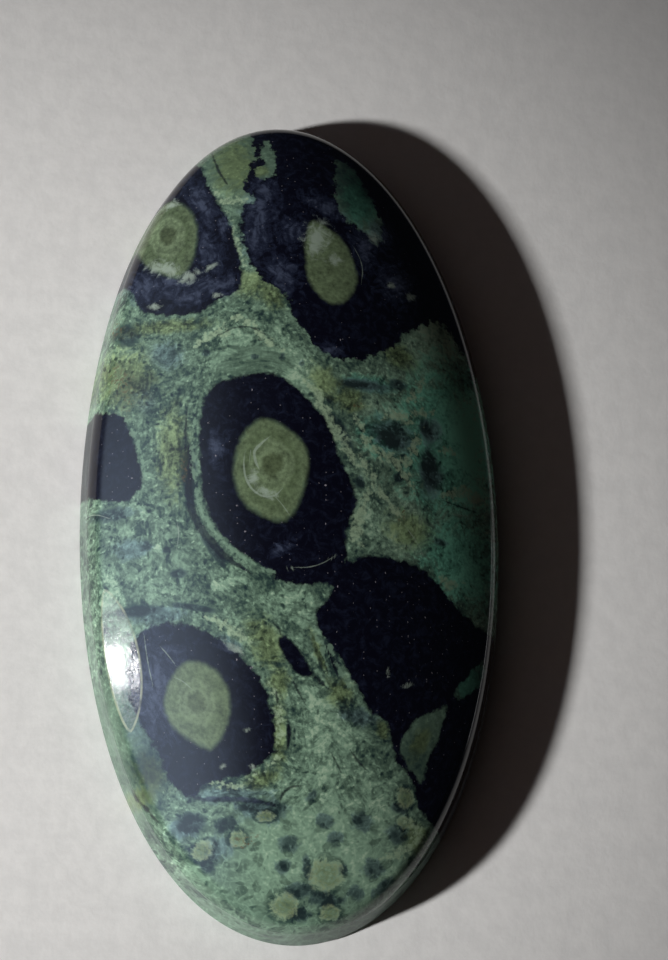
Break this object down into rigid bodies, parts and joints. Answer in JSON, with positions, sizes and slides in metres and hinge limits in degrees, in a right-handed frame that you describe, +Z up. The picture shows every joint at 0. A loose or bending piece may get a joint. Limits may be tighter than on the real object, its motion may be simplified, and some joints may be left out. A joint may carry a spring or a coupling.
{
  "type": "kambaba jasper cabochon",
  "caption": "Polished oval stone cabochon, dark green jasper with black orbs and olive eyes, low domed top and flat back for a bezel setting.",
  "frame": {"origin": "middle of the flat back, where the stone lies", "axes": "+Y along the oval's long axis, towards the end that is at the top of the picture; +X across the oval; +Z up, out of the dome"},
  "size_m": [0.022, 0.045, 0.005],
  "materials": {
    "jasper": "polished"
  },
  "bodies": {
    "root": {"cabochon": "jasper"}
  },
  "joints": []
}
